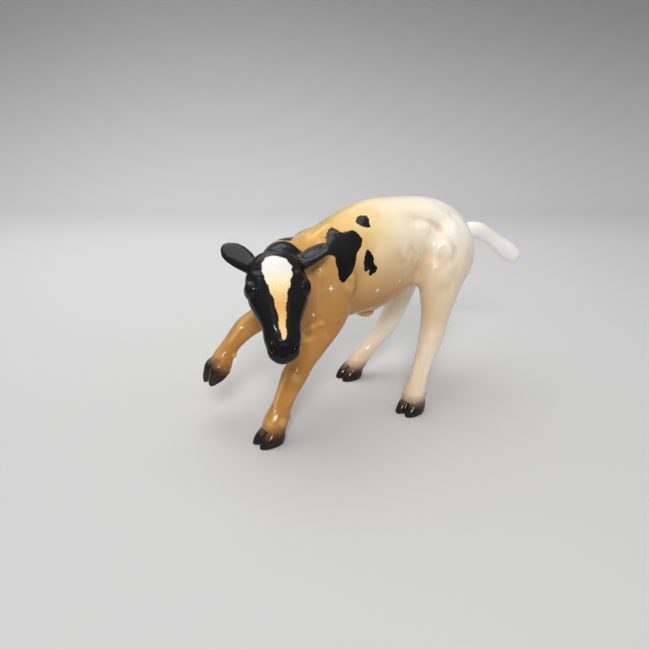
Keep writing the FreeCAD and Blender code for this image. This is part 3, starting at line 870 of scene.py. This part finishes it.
# %% [markdown]
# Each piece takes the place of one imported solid. Nothing on the toy moves, so all of them ride on
# the same body. Every point also stores the distances that the paint needs.

# %% The eleven pieces
POINT_VALUES = {"patch_mm": patch_mm, "blaze_mm": blaze_mm, "hoof_mm": hoof_mm,
                "head_share": head_share, "foreleg_share": foreleg_share,
                "crease_mm": crease_mm, "face_down_mm": face_down}


def make_piece(name, index):
    """The closed piece of one node, with the paint's distances on its points."""
    used, back = np.unique(facets[face_owner == index], return_inverse=True)
    faces = back.reshape(-1, 3)
    middles, sources, walls = joint_walls(faces, skin[used], normals[used])
    places = np.concatenate([skin[used], middles])
    used = np.concatenate([used, used[sources]])
    made = new_object(name, to_frame(places), np.concatenate([faces, walls]))
    for title, values in POINT_VALUES.items():
        held = made.data.attributes.new(title, "FLOAT", "POINT")
        held.data.foreach_set("value", values[used].astype(np.float32))
    made.data.shade_smooth()
    made.data.normals_split_custom_set_from_vertices(normals[used].tolist())
    return made


# A triangle belongs to the piece that two of its corners belong to.
first, second, third = owner[facets].T
face_owner = np.where(second == third, second, first)
pieces = {}
for index, name in enumerate(node_names):
    pieces[name] = make_piece("painted_" + name, index)
    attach(pieces[name], "root")
    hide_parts(name)
    faces = read_mesh(pieces[name].data)[1]
    print(name, len(faces), "triangles,", len(open_edges(faces)), "edges left open")

# %% [markdown]
# ## Colours and nodes
#
# Colours are written as the hex values a paint chart gives. Blender's nodes want linear light, so
# one function converts them. Others add a node with its settings and links, do a step of
# arithmetic, map a value from one range to another, mix two colours, or start a material.

# %% Helpers for materials
def paint(hex_colour):
    """An sRGB hex colour as linear red, green, blue and alpha."""
    values = [int(hex_colour[k:k + 2], 16) / 255 for k in (1, 3, 5)]
    return [v / 12.92 if v <= 0.04045 else ((v + 0.055) / 1.055) ** 2.4 for v in values] + [1.0]


def plug(tree, node, sockets):
    """Gives sockets of a node a value each, another node's first output, or the output named."""
    for key, value in sockets.items():
        if isinstance(value, bpy.types.Node):
            value = value.outputs[0]
        if isinstance(value, bpy.types.NodeSocket):
            tree.links.new(value, node.inputs[key])
        else:
            node.inputs[key].default_value = value


def add_node(tree, kind, sockets=None, **settings):
    """One node with its settings and its sockets."""
    node = tree.nodes.new(kind)
    for name, value in settings.items():
        setattr(node, name, value)
    plug(tree, node, sockets or {})
    return node


def maths(tree, kind, operation, *values):
    """One step of arithmetic: the kind is Math for numbers and VectorMath for vectors."""
    return add_node(tree, "ShaderNode" + kind, dict(enumerate(values)), operation=operation)


def ranged(tree, value, begins=0.0, full=1.0, low=0.0, high=1.0, curve="LINEAR"):
    """A value mapped from one range to another, and kept inside it."""
    return add_node(tree, "ShaderNodeMapRange", {0: value, 1: begins, 2: full, 3: low, 4: high},
                    interpolation_type=curve)


def mixed(tree, share, first, second):
    """Two colours mixed by the second one's share."""
    return add_node(tree, "ShaderNodeMix", {0: share, 6: first, 7: second}, data_type="RGBA").outputs[2]


def new_material(name):
    """A new material, its node tree, its shader and the object's coordinates."""
    material = bpy.data.materials.new(name)
    material.use_nodes = True
    tree = material.node_tree
    place = add_node(tree, "ShaderNodeTexCoord").outputs["Object"]
    return material, tree, tree.nodes["Principled BSDF"], place


print("gold in linear light:", np.round(paint("#D39B50"), 3))

# %% [markdown]
# ## The studio
#
# The figurine stands on a pale grey sweep: a sheet that runs flat under it and curves up behind.
# Its colour is painted light and shade: lighter away from the camera and darker again up the wall,
# as lit paper looks.

# %% Floor sweep
SWEEP_FRONT_MM = -400.0
SWEEP_BACK_MM = 740.0
SWEEP_BEND_MM = 220.0
SWEEP_HEIGHT_MM = 620.0
SWEEP_HALF_WIDTH_MM = 1400.0
SWEEP_ROUGHNESS = 0.85
BEND_ROWS = 33
# The floor's colours are painted light, lighter towards the back; the wall's colour is painted shade.
FRONT_COLOUR = "#C6C6C6"
BACK_COLOUR = "#E8E8E8"
WALL_COLOUR = "#9E9E9E"
WALL_TOP_MM = 300.0
FADE_FROM_MM = -150.0
FADE_TO_MM = 300.0


def add_sweep():
    """The sheet, square to the camera, from its section: distances back and heights."""
    forward, right, _ = camera_axes()
    level = np.array([forward[0], forward[1], 0.0]) / math.hypot(forward[0], forward[1])
    bend = [(SWEEP_BACK_MM + SWEEP_BEND_MM * math.sin(a), SWEEP_BEND_MM * (1 - math.cos(a)))
            for a in np.linspace(0, math.pi / 2, BEND_ROWS)]
    section = [(SWEEP_FRONT_MM, 0.0)] + bend + [(bend[-1][0], SWEEP_HEIGHT_MM)]
    points = [CAMERA_PLACE * [1, 1, 0] + level * back + right * side + [0, 0, height]
              for back, height in section for side in (-SWEEP_HALF_WIDTH_MM, SWEEP_HALF_WIDTH_MM)]
    faces = [(first, first + 1, first + 3, first + 2) for first in range(0, len(points) - 2, 2)]
    sweep = new_object("floor_sweep", to_frame(points), faces)
    sweep.data.shade_smooth()
    return sweep


def sweep_material():
    """Matt paper with painted light and shade: lighter away from the camera and darker up the wall."""
    material, tree, shader, place = new_material("matt_paper_sweep")
    height = add_node(tree, "ShaderNodeSeparateXYZ", {0: place}).outputs["Z"]
    up = ranged(tree, height, full=WALL_TOP_MM * MM)
    depth = maths(tree, "VectorMath", "DOT_PRODUCT", place, camera_axes()[0] * [1, 1, 0])
    back = ranged(tree, depth.outputs["Value"], FADE_FROM_MM * MM, FADE_TO_MM * MM)
    floor = mixed(tree, back, paint(FRONT_COLOUR), paint(BACK_COLOUR))
    paper = mixed(tree, up, floor, paint(WALL_COLOUR))
    plug(tree, shader, {"Base Color": paper, "Roughness": SWEEP_ROUGHNESS})
    return material


sweep = add_sweep()
sweep.data.materials.append(sweep_material())
print("sweep faces:", len(sweep.data.polygons))

# %% [markdown]
# Three soft lamps light the table. A small one in front makes the sharp glints in the clear coat, a
# wide one overhead leaves short soft shadows under the hooves, and the last one lights the wall. The
# room around them is dim at the horizon and brighter above, so the black paint keeps its depth.

# %% Lamps and room
# Each lamp: name, place, size in mm, watts, and the place that it aims at.
LAMPS = [("front_softbox", [-260, -450, 400], 140, 2.0, [0, 0, 40]),
         ("overhead_softbox", [-40, 60, 560], 420, 0.9, [0, 0, 40]),
         ("backdrop_softbox", [0, 360, 420], 420, 0.55, [-20, 420, 0])]
HORIZON_STRENGTH = 0.20
ZENITH_STRENGTH = 0.56


def add_lamp(name, place, size_mm, watts, aim_at):
    """A square white lamp at a place in figure millimetres, aimed at another."""
    data = bpy.data.lights.new(name, "AREA")
    data.shape = "SQUARE"
    data.size = size_mm * MM
    data.energy = watts
    lamp = bpy.data.objects.new(name, data)
    bpy.context.scene.collection.objects.link(lamp)
    start, end = Vector(to_frame(place)), Vector(to_frame(aim_at))
    turn = (end - start).to_track_quat("-Z", "Y").to_matrix().to_4x4()
    lamp.matrix_world = Matrix.Translation(start) @ turn


for lamp in LAMPS:
    add_lamp(*lamp)
world = bpy.data.worlds.new("studio")
world.use_nodes = True
bpy.context.scene.world = world
room = world.node_tree
sky = add_node(room, "ShaderNodeSeparateXYZ",
               {0: add_node(room, "ShaderNodeTexCoord").outputs["Generated"]})
dome = ranged(room, sky.outputs["Z"], low=HORIZON_STRENGTH, high=ZENITH_STRENGTH)
plug(room, room.nodes["Background"], {"Color": paint("#FFFFFF"), "Strength": dome})
bpy.context.scene.view_settings.view_transform = "Standard"
print("lamps:", [name for name, *_ in LAMPS])

# %% [markdown]
# ## Airbrushed acrylic on moulded plastic
#
# The toy is moulded ABS under thin sprayed acrylic and a glossy clear coat: colour in soft fades,
# small bright glints, and faint orange peel in the light. One material carries all the layers in
# the order in which they were painted: the fade from gold to white, painted shade on the haunch, a
# deeper caramel low on the front that is partly the paint's own and partly painted shade, painted
# shade in creases, painted highlights on proud forms, dark hooves, black head and patches, and the
# blaze.

# %% Tables of the paint
# The base fade: share of the way from front to back, and its colour.
COAT_FROM_MM = -29.8
COAT_TO_MM = 105.2
COAT_STOPS = [(0.00, "#D39B50"), (0.26, "#DDAA5C"), (0.40, "#E3BA6E"), (0.47, "#E9C888"),
              (0.54, "#F4DFB6"), (0.62, "#F7E7CA"), (0.78, "#FAF2E4"), (1.00, "#FDFBF8")]
# Noises: their scale in waves per millimetre, and their detail.
CLOUDS = {"cloud": (0.12, 2.0), "bristle": (1.1, 4.0), "haze": (0.5, 3.0), "peel": (2.4, 3.0)}
# Sums: a new value, what it adds, by how much, and to what.
ROUGHENED = [("along", "cloud", 26.0, "x"), ("fade", "z", 0.12, "along"),
             ("mist", "bristle", 3.3, "hoof_mm"), ("head_edge", "bristle", 0.13, "head_share"),
             ("patch_edge", "bristle", 1.1, "patch_mm"), ("blaze_edge", "bristle", 0.77, "blaze_mm"),
             ("blaze_down", "bristle", 5.5, "face_down_mm")]
# Masks: what each reads, where it begins, where it is full, and how strong it then is.
MASKS = {
    # Painted shade on the upper haunch.
    "haunch_shade": ("z", 80.0, 62.0, 0.5),
    "above_hock": ("z", 22.0, 42.0, 1.0),
    "before_tail": ("x", 72.0, 60.0, 1.0),
    "front": ("x", 56.0, 22.0, 1.0),
    "saddle": ("z", 68.0, 80.0, 0.6),
    "before_loin": ("x", 30.0, 4.0, 1.0),
    # Deeper caramel low on the front: partly the paint's own colour, partly painted shade under the body.
    "low": ("z", 82.0, 46.0, 0.85),
    "foreleg": ("foreleg_share", 0.0, 1.0, 0.6),
    "low_shank": ("z", 44.0, 28.0, 0.5),
    "hind_shank": ("x", 14.0, 26.0, 1.0),
    # Painted shade in creases.
    "hollow": ("crease_mm", 0.0, 0.26, 0.65),
    # Painted highlight on forms that stand out.
    "proud_highlight": ("crease_mm", -0.02, -0.22, 0.4),
    "wide_mist": ("mist", 12.15, 6.15, 0.85),
    "hoof": ("mist", 8.65, 4.65, 1.0),
    "black_head": ("head_edge", 0.316, 0.686, 1.0),
    "patches": ("patch_edge", 0.67, 0.43, 1.0),
    "blaze": ("blaze_edge", 0.635, 0.135, 1.0),
    "cream": ("blaze_down", 9.0, 18.0, 1.0),
    "honey": ("blaze_down", 14.0, 26.0, 1.0),
    "straw": ("blaze_down", 22.0, 34.0, 1.0),
}
# Masks that only count where another does too.
WITHIN = [("haunch_shade", "above_hock"), ("haunch_shade", "before_tail"), ("low", "front"),
          ("saddle", "before_loin"), ("low_shank", "hind_shank")]
# Mixtures that change from the hindquarters to the front.
# Both are painted light: tan is the painted shade in creases, light the painted highlight on proud forms.
ON_FRONT = {"tan": ("#D0A574", "#A0682E"), "light": ("#FFF8EA", "#F2C77C")}
# The blaze: its white, and what is sprayed over it down the face.
BLAZE_WHITE = "#E6E2E0"
BLAZE_LAYERS = [("#F4E8B4", "cream"), ("#DCA650", "honey"), ("#F0C988", "straw")]
# The layers in the order of spraying: a colour or a mixture from above, and its mask.
# Painted light among them: shade on the haunch and in creases, part of the low caramel, and highlights on
# proud forms.
COAT_LAYERS = [("#D8BE92", "haunch_shade"), ("#DDB15E", "saddle"), ("#B07A38", "low"),
               ("#B67C38", "foreleg"), ("#F8EEDC", "low_shank"), ("tan", "hollow"), ("light", "proud_highlight"),
               ("#6A4E34", "wide_mist"), ("#241A15", "hoof"), ("#0B0A0C", "black_head"),
               ("#090809", "patches"), ("blaze", "blaze")]


# %% [markdown]
# An airbrush leaves no hard edge: its mist thins out over some millimetres. So each layer has a mask
# that rises smoothly with a distance, and noise roughens that distance as bristles and spatter do.

# %% Masks from the stored distances
def paint_masks(tree, place):
    """Every mask of the paint, from the points' stored values, their places and noise."""
    axis = add_node(tree, "ShaderNodeSeparateXYZ", {0: place})
    values = {"x": axis.outputs["X"], "z": axis.outputs["Z"]}
    for title in POINT_VALUES:
        values[title] = add_node(tree, "ShaderNodeAttribute", attribute_name=title).outputs["Fac"]
    for title, (scale, detail) in CLOUDS.items():
        values[title] = add_node(tree, "ShaderNodeTexNoise", {"Vector": place, "Scale": scale,
                                                              "Detail": detail})
    for title, added, weight, base in ROUGHENED:
        values[title] = maths(tree, "Math", "MULTIPLY_ADD", values[added], weight, values[base])
    for title, (read, begins, full, strength) in MASKS.items():
        values[title] = ranged(tree, values[read], begins, full, high=strength, curve="SMOOTHSTEP")
    for title, other in WITHIN:
        values[title] = maths(tree, "Math", "MULTIPLY", values[title], values[other])
    return values


def painted_over(tree, coat, layers, masks):
    """A colour, then each layer's colour over it by its mask, in the order of spraying."""
    for colour, mask in layers:
        coat = mixed(tree, masks[mask], coat, colour)
    return coat


# %% [markdown]
# Over the paint goes a thin clear coat. It gives the small bright glints, and because it is sprayed
# and not polished, it has faint orange peel and is a little duller in places.

# %% The acrylic and its clear coat
CLEAR_COAT = {"IOR": 1.49, "Specular IOR Level": 0.06, "Coat Weight": 0.55, "Coat Roughness": 0.10}
HAZE_SHARES = (0.3, 0.7)
GLOSSIEST = 0.27
DULLEST = 0.39
PEEL_STRENGTH = 0.16
PEEL_MM = 0.10


def painted_material():
    """All the layers of paint under the clear coat, with painted shade and painted highlights among them.
    """
    material, tree, shader, place = new_material("airbrushed_acrylic")
    in_mm = add_node(tree, "ShaderNodeMapping", {"Vector": place, "Location": -frame_shift,
                                                 "Scale": [1 / MM] * 3})
    masks = paint_masks(tree, in_mm)
    share = ranged(tree, masks["fade"], COAT_FROM_MM, COAT_TO_MM)
    ramp = add_node(tree, "ShaderNodeValToRGB", {0: share})
    while len(ramp.color_ramp.elements) < len(COAT_STOPS):
        ramp.color_ramp.elements.new(0.5)
    for stop, (where, colour) in zip(ramp.color_ramp.elements, COAT_STOPS):
        stop.position = where
        stop.color = paint(colour)
    mixtures = {title: painted_over(tree, paint(behind), [(paint(before), "front")], masks)
                for title, (behind, before) in ON_FRONT.items()}
    blaze_layers = [(paint(colour), mask) for colour, mask in BLAZE_LAYERS]
    mixtures["blaze"] = painted_over(tree, paint(BLAZE_WHITE), blaze_layers, masks)
    layers = [(mixtures[colour] if colour in mixtures else paint(colour), mask)
              for colour, mask in COAT_LAYERS]
    gleam = ranged(tree, masks["haze"], *HAZE_SHARES, GLOSSIEST, DULLEST)
    peel = add_node(tree, "ShaderNodeBump", {"Height": masks["peel"], "Strength": PEEL_STRENGTH,
                                             "Distance": PEEL_MM * MM})
    plug(tree, shader, {"Base Color": painted_over(tree, ramp, layers, masks), "Roughness": gleam,
                        "Normal": peel, **CLEAR_COAT})
    return material


airbrushed = painted_material()
for piece in pieces.values():
    piece.data.materials.append(airbrushed)
print("paint nodes:", len(airbrushed.node_tree.nodes))

# %% [markdown]
# ## Four-point sparkles
#
# A few pale four-point sparkles are printed on the shoulder and belly, each a dab of silver white
# with two thin crossed arms. They repeat, so Geometry Nodes make them: one flat star, its outline
# a circle pinched towards its axes, lands on each marked point, turned to the skin, and every point
# of it is then laid a hair above the skin. The result is plain mesh that the export can keep.

# %% Sparkle points
# Each sparkle: its pixel, or x and z on the far side, and the length of an arm in mm.
SPARKLES_SEEN = [((331, 288.5), 2.6), ((313.6, 314.8), 2.0), ((377.4, 290), 2.7), ((399.7, 280.5), 1.6)]
SPARKLES_FAR = [((4, 52), 2.5), ((-6, 47), 2.0), ((26, 55), 2.6), ((36, 60), 1.7)]
SPARKLE_LIFT_MM = 0.05
SPARKLE_PINCH = 5.0

spots = [(seen(*pixel), radius) for pixel, radius in SPARKLES_SEEN]
spots += [(from_side([place])[0], radius) for place, radius in SPARKLES_FAR]
marks = new_object("sparkles", to_frame([spot for spot, radius in spots]), [])
outward = marks.data.attributes.new("outward", "FLOAT_VECTOR", "POINT")
outward.data.foreach_set("vector", np.concatenate([facing(spot) for spot, radius in spots]))
size = marks.data.attributes.new("radius", "FLOAT", "POINT")
size.data.foreach_set("value", [radius * MM for spot, radius in spots])
print("sparkles:", len(spots))

# %% [markdown]
# The star's outline is a circle with each coordinate raised to a power, which pinches it to its
# axes. The pinch, the lift, the marks and the skin are the inputs of the tree.

# %% Sparkle tree
STAR_SIDES = 32
STAR_LEVEL = 2
ARM_SHARES = (0.8, 1.0, 1.0)


def pinched_star(tree, pinch):
    """A flat four-point star, one unit across its arms from the middle."""
    disc = add_node(tree, "GeometryNodeMeshCircle", {"Vertices": STAR_SIDES, "Radius": 1.0},
                    fill_type="TRIANGLE_FAN")
    fine = add_node(tree, "GeometryNodeSubdivideMesh", {"Mesh": disc, "Level": STAR_LEVEL})
    place = add_node(tree, "GeometryNodeInputPosition")
    power = maths(tree, "VectorMath", "POWER", maths(tree, "VectorMath", "ABSOLUTE", place), pinch)
    side = maths(tree, "VectorMath", "SIGN", place)
    arms = maths(tree, "VectorMath", "MULTIPLY", power, side)
    narrow = maths(tree, "VectorMath", "MULTIPLY", arms, ARM_SHARES)
    return add_node(tree, "GeometryNodeSetPosition", {"Geometry": fine, "Position": narrow})


def sparkle_tree(material):
    """Stars on the marks, laid on the skin, as real mesh in the ink."""
    tree = bpy.data.node_groups.new("sparkle_decals", "GeometryNodeTree")
    for name, kind in (("Marks", "NodeSocketGeometry"), ("Skin", "NodeSocketObject"),
                       ("Pinch", "NodeSocketFloat"), ("Lift", "NodeSocketFloat")):
        tree.interface.new_socket(name, in_out="INPUT", socket_type=kind)
    tree.interface.new_socket("Sparkles", in_out="OUTPUT", socket_type="NodeSocketGeometry")
    given = add_node(tree, "NodeGroupInput").outputs
    star = pinched_star(tree, given["Pinch"])
    outward = add_node(tree, "GeometryNodeInputNamedAttribute", {"Name": "outward"},
                       data_type="FLOAT_VECTOR")
    turned = add_node(tree, "FunctionNodeAxesToRotation", {"Primary Axis": outward,
                                                           "Secondary Axis": (0.0, 0.0, 1.0)},
                      primary_axis="Z", secondary_axis="Y")
    radius = add_node(tree, "GeometryNodeInputNamedAttribute", {"Name": "radius"}, data_type="FLOAT")
    placed = add_node(tree, "GeometryNodeInstanceOnPoints",
                      {"Points": given["Marks"], "Instance": star, "Rotation": turned, "Scale": radius})
    real = add_node(tree, "GeometryNodeRealizeInstances", {0: placed})
    toy = add_node(tree, "GeometryNodeObjectInfo", {"Object": given["Skin"]})
    nearest = add_node(tree, "GeometryNodeProximity", {0: toy.outputs["Geometry"]}, target_element="FACES")
    normal = maths(tree, "VectorMath", "NORMALIZE", outward)
    lifted = maths(tree, "VectorMath", "MULTIPLY", normal, given["Lift"])
    laid = maths(tree, "VectorMath", "ADD", nearest.outputs["Position"], lifted)
    on_skin = add_node(tree, "GeometryNodeSetPosition", {"Geometry": real, "Position": laid})
    inked = add_node(tree, "GeometryNodeSetMaterial", {"Geometry": on_skin, "Material": material})
    add_node(tree, "NodeGroupOutput", {0: inked})
    return tree


# %% [markdown]
# The sparkles are pad-printed: a soft pad stamps a thin layer of dull silver white ink, a little
# uneven where the pad lifts off. The marks then take the tree, and the result becomes plain mesh.

# %% Silver ink and plain mesh
INK_WAVES_PER_MM = 1.5
INK_ROUGHNESS = 0.35


def set_input(modifier, name, value):
    """Sets a modifier's input by its socket's identifier."""
    for item in modifier.node_group.interface.items_tree:
        if item.name == name and item.in_out == "INPUT":
            modifier[item.identifier] = value


def silver_ink():
    """Pad-printed silver white ink: flat, dull and slightly uneven."""
    material, tree, shader, place = new_material("silver_white_ink")
    cloud = add_node(tree, "ShaderNodeTexNoise", {"Vector": place, "Scale": INK_WAVES_PER_MM / MM})
    ink = mixed(tree, cloud, paint("#EFE8DA"), paint("#DCD3C4"))
    plug(tree, shader, {"Base Color": ink, "Roughness": INK_ROUGHNESS})
    return material


def plain_mesh(made):
    """Puts an object's evaluated mesh in place of its own, and takes its modifiers away."""
    mesh = evaluated_mesh(made)
    made.modifiers.clear()
    made.data = mesh


whole_skin = new_object("whole_skin", to_frame(skin), facets)
grow = marks.modifiers.new("sparkles", "NODES")
grow.node_group = sparkle_tree(silver_ink())
set_input(grow, "Skin", whole_skin)
set_input(grow, "Pinch", SPARKLE_PINCH)
set_input(grow, "Lift", SPARKLE_LIFT_MM * MM)
bpy.context.view_layer.update()
plain_mesh(marks)
bpy.data.objects.remove(whole_skin)
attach(marks, "root")
print("sparkle triangles:", len(marks.data.polygons))
